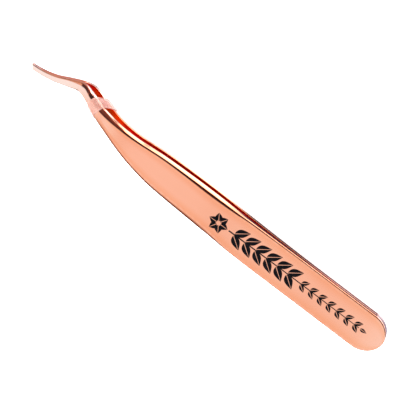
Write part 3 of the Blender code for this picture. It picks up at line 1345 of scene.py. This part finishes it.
@dataclass(frozen=True)
class Studio:
    """A white light table under a soft tent with bright strips and dark, warm flags in it."""

    lay: Lay
    table_size: float = 1.6
    table_drop: float = 0.04 * MM
    table_colour: Colour = (0.9, 0.9, 0.9)
    table_roughness: float = 0.9
    table_glow: float = 0.75
    lamp_size: float = 0.6
    lamp_power: float = 15.0
    lamp_place: Triple = (-0.15, -0.1, 0.9)
    distance: float = 0.420
    tilt: float = math.radians(24.0)
    roll: float = math.radians(37.2)
    lens: float = 134.9
    sensor: float = 36.0
    clip: tuple[float, float] = (0.01, 10.0)
    aim: Triple = (60.0 * MM, 0.0, 0.0)
    aim_right: float = 0.78 * MM
    aim_up: float = 0.19 * MM
    bounces: int = 32
    clear_bounces: int = 16
    # What the two kinds of colours below are divided by, to keep them under 1 in their ramps.
    brightest: float = 4.0
    most_along: float = 1.5
    # Angle about the object's length from straight up towards +Y, in degrees, and the colour there.
    TENT: ClassVar[Stops] = (
        (-180.0, (0.38, 0.40, 0.55)), (-150.0, (0.20, 0.11, 0.10)), (-75.0, (0.16, 0.08, 0.07)),
        (-70.5, (1.0, 1.0, 1.0)), (-9.0, (1.0, 1.0, 1.0)),
        (-4.0, (0.80, 0.66, 0.60)), (1.0, (0.05, 0.03, 0.03)), (20.0, (0.03, 0.015, 0.015)),
        (32.0, (0.10, 0.04, 0.035)), (40.0, (0.22, 0.09, 0.07)), (46.0, (3.4, 3.4, 3.3)),
        (128.0, (3.4, 3.4, 3.3)), (138.0, (0.50, 0.40, 0.48)), (180.0, (0.38, 0.40, 0.55)),
    )
    # The same in directions that lean towards the heel, which the neck reflects.
    NECK_TENT: ClassVar[Stops] = (
        (-180.0, (0.45, 0.50, 0.70)), (-150.0, (0.45, 0.35, 0.35)), (-100.0, (0.60, 0.50, 0.46)),
        (-90.0, (1.0, 1.0, 1.0)), (-8.0, (1.0, 1.0, 1.0)), (-1.0, (0.40, 0.28, 0.24)),
        (3.0, (0.05, 0.02, 0.02)), (15.0, (0.04, 0.02, 0.02)), (21.0, (0.16, 0.06, 0.055)),
        (34.0, (0.30, 0.12, 0.10)), (60.0, (0.24, 0.09, 0.08)), (83.0, (0.20, 0.07, 0.06)),
        (86.0, (3.4, 3.4, 3.4)), (95.0, (3.4, 3.4, 3.4)), (99.0, (0.14, 0.05, 0.05)),
        (112.0, (0.12, 0.05, 0.05)), (117.0, (3.2, 3.2, 3.2)), (162.0, (3.0, 3.0, 3.0)),
        (168.0, (0.90, 0.85, 0.90)), (180.0, (0.70, 0.66, 0.70)),
    )
    # In directions that lean a little towards the tips, which the bend of the neck reflects.
    BEND_TENT: ClassVar[Stops] = (
        (-180.0, (0.45, 0.30, 0.28)), (-76.0, (0.26, 0.13, 0.10)), (-70.5, (1.0, 1.0, 1.0)),
        (-8.0, (1.0, 1.0, 1.0)), (1.0, (0.06, 0.03, 0.03)), (24.0, (0.10, 0.035, 0.03)),
        (60.0, (0.14, 0.045, 0.04)), (112.0, (0.12, 0.05, 0.05)), (118.0, (3.0, 2.8, 2.9)),
        (145.0, (3.0, 2.8, 2.9)), (152.0, (0.45, 0.28, 0.32)), (180.0, (0.42, 0.28, 0.34)),
    )
    # And in directions that lean further towards them, which the tips reflect.
    TIP_TENT: ClassVar[Stops] = (
        (-180.0, (0.60, 0.50, 0.50)), (-100.0, (0.70, 0.60, 0.58)), (-90.0, (1.0, 1.0, 1.0)),
        (-7.0, (1.0, 1.0, 1.0)), (3.0, (0.78, 0.40, 0.26)), (22.0, (0.76, 0.38, 0.24)),
        (26.0, (0.12, 0.045, 0.04)), (36.0, (0.12, 0.045, 0.04)), (42.0, (0.72, 0.34, 0.22)),
        (92.0, (0.70, 0.32, 0.20)), (103.0, (0.50, 0.22, 0.15)), (180.0, (0.60, 0.30, 0.26)),
    )
    # Between which leans the tents pass into each other: plain to neck, bend to plain, and for the
    # tips' the four leans where it starts, is full, begins to fade and is gone.
    neck_lean: tuple[float, float] = (0.11, 0.17)
    bend_lean: tuple[float, float] = (-0.20, -0.14)
    tip_lean: tuple[float, float, float, float] = (-0.72, -0.66, -0.36, -0.27)
    # How far a direction leans towards +X, and the tint that the tent has there.
    ALONG: ClassVar[Stops] = (
        (-0.60, (1.03, 1.10, 1.15)), (0.0, (1.04, 1.10, 1.15)), (0.06, (1.0, 1.0, 1.0)),
        (0.12, (1.0, 1.02, 1.03)), (0.165, (1.04, 1.2, 1.3)), (0.22, (1.04, 1.3, 1.5)),
        (0.60, (1.04, 1.3, 1.5)),
    )

    @staticmethod
    def ramp(sheet: NodeSheet, place: Signal, stops: Stops, most: float) -> Signal:
        """A colour ramp over stops.

        Args:
            sheet: Where it is added.
            place: The place on it, in the stops' own units.
            stops: Places, rising, and colours.
            most: What every colour is divided by, to keep it under 1.

        Returns:
            The ramp's colour.
        """
        first, span = stops[0][0], stops[-1][0] - stops[0][0]
        scaled = [
            ((at - first) / span, tuple(part / most for part in colour)) for at, colour in stops
        ]
        share = place / span - first / span
        return sheet.node("ShaderNodeValToRGB", {"stops": scaled}, {0: share})

    def tent(self) -> None:
        """Builds the world, coloured by a direction's angle about X and its lean along X."""
        world = bpy.data.worlds.new("studio_tent")
        world.use_nodes = True
        bpy.context.scene.world = world
        sheet = NodeSheet(world.node_tree)
        direction = sheet.node("ShaderNodeTexCoord", out="Generated")
        lean, side, up = (
            sheet.node("ShaderNodeSeparateXYZ", values={0: direction}, out=axis) for axis in "XYZ"
        )
        turn = side.angle_to(up) * math.degrees(1.0)
        plain, neck, bend, tip = (
            self.ramp(sheet, turn, stops, self.brightest)
            for stops in (self.TENT, self.NECK_TENT, self.BEND_TENT, self.TIP_TENT)
        )
        far, full, near, none = self.tip_lean
        round_x = sheet.tint(lean.ease(*self.bend_lean), bend, plain)
        round_x = sheet.tint(lean.ease(*self.neck_lean), round_x, neck)
        round_x = sheet.tint(lean.ease(far, full) * (1.0 - lean.ease(near, none)), round_x, tip)
        along_x = self.ramp(sheet, lean, self.ALONG, self.most_along)
        colour = sheet.tint(1.0, round_x, along_x, "MULTIPLY")
        strength = self.brightest * self.most_along
        light = sheet.node("ShaderNodeBackground", values={"Color": colour, "Strength": strength})
        output = sheet.tree.nodes.new("ShaderNodeOutputWorld")
        sheet.tree.links.new(light.socket, output.inputs["Surface"])

    def table(self) -> bpy.types.Object:
        """The pale table top, lit from within; metal on it reflects the tent and not its glow.

        Returns:
            The table's object.
        """
        half = 0.5 * self.table_size
        grid = np.linspace(-half, half, 3)
        x, y = np.meshgrid(grid, grid, indexing="ij")
        points = np.stack([x, y, np.full_like(x, -self.table_drop)], axis=-1).reshape(-1, 3)
        mesh = bpy.data.meshes.new("table_top")
        faces = [[k, k + 3, k + 4, k + 1] for k in (0, 1, 3, 4)]
        mesh.from_pydata(points.tolist(), [], faces)
        top = bpy.data.objects.new("table_top", mesh)
        bpy.context.scene.collection.objects.link(top)
        material, sheet = finish_material("pale_table")
        close_material(sheet, {
            "Base Color": (*self.table_colour, 1.0), "Roughness": self.table_roughness,
            "Emission Color": (1.0, 1.0, 1.0, 1.0), "Emission Strength": self.table_glow,
        })
        mesh.materials.append(material)
        top.visible_glossy = False
        top.visible_shadow = False
        return top

    def lamp(self) -> None:
        """One large soft lamp overhead for what isn't metal."""
        data = bpy.data.lights.new("soft_lamp", "AREA")
        data.shape = "DISK"
        data.size = self.lamp_size
        data.energy = self.lamp_power
        lamp = bpy.data.objects.new("soft_lamp", data)
        lamp.location = self.lamp_place
        lamp.rotation_euler = Vector(lamp.location).to_track_quat("Z", "Y").to_euler()
        lamp.visible_glossy = False
        bpy.context.scene.collection.objects.link(lamp)

    def camera(self) -> bpy.types.Object:
        """Looks down on the flat of the arms, leaning towards +Y, with the heel low on the right.

        Returns:
            The camera.
        """
        lay = self.lay
        across = lay.direction((0.0, math.cos(self.tilt), -math.sin(self.tilt)))
        back = lay.direction((0.0, math.sin(self.tilt), math.cos(self.tilt)))
        length = lay.direction((1.0, 0.0, 0.0))
        right = math.cos(self.roll) * length + math.sin(self.roll) * across
        up = -math.sin(self.roll) * length + math.cos(self.roll) * across
        target = Vector(lay.place([self.aim])[0]) + right * self.aim_right + up * self.aim_up
        data = bpy.data.cameras.new("viewpoint")
        data.lens = self.lens
        data.sensor_width = self.sensor
        data.clip_start, data.clip_end = self.clip
        camera = bpy.data.objects.new("viewpoint", data)
        basis = Matrix((right, up, back)).transposed().to_4x4()
        camera.matrix_world = Matrix.Translation(target + back * self.distance) @ basis
        bpy.context.scene.collection.objects.link(camera)
        bpy.context.scene.camera = camera
        return camera

    def build(self) -> None:
        """Sets up tent, table, lamp and camera, and how light reaches the picture."""
        self.tent()
        self.table()
        self.lamp()
        self.camera()
        scene = bpy.context.scene
        scene.view_settings.view_transform = Tone.PLAIN.value
        scene.cycles.max_bounces = self.bounces
        scene.cycles.glossy_bounces = self.bounces
        scene.cycles.transparent_max_bounces = self.clear_bounces


# ---------------------------------------------------------------- assembly


def report(piece: bpy.types.Object) -> None:
    """Logs a finished piece."""
    mesh = piece.data
    log.info("%s: %d points, %d faces", piece.name, len(mesh.vertices), len(mesh.polygons))


def main() -> None:
    """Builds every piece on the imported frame, then the studio."""
    logging.basicConfig(level=logging.INFO, format="%(name)s: %(message)s")
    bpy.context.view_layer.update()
    form = ArmForm()
    lay = Lay.of(frame, form)
    rose_gold = RoseGold().material("rose_gold")

    upper = SpringArm(Side.UPPER, form, lay)
    upper_piece = upper.build("upper_arm")
    upper.dress(upper_piece, rose_gold)
    report(upper_piece)

    lower = SpringArm(Side.LOWER, form, lay)
    lower_piece = lower.build("lower_arm_strip")
    lower.dress(lower_piece, rose_gold)
    report(lower_piece)

    weld = HeelWeld(form, lay)
    weld_piece = weld.build("heel_seam")
    weld.dress(weld_piece, WeldMetal().material("weld_metal"))
    report(weld_piece)

    band = KeeperBand(form, lay)
    band_piece = band.build("keeper_band")
    band.dress(band_piece, KeeperRubber().material("keeper_rubber"))
    report(band_piece)

    sprig = PrintedSprig(form, lay)
    sprig_piece = sprig.build("printed_sprig")
    sprig.dress(sprig_piece, PadInk().material("pad_ink"), upper)
    report(sprig_piece)

    Studio(lay).build()


if __name__ == "__main__":
    main()
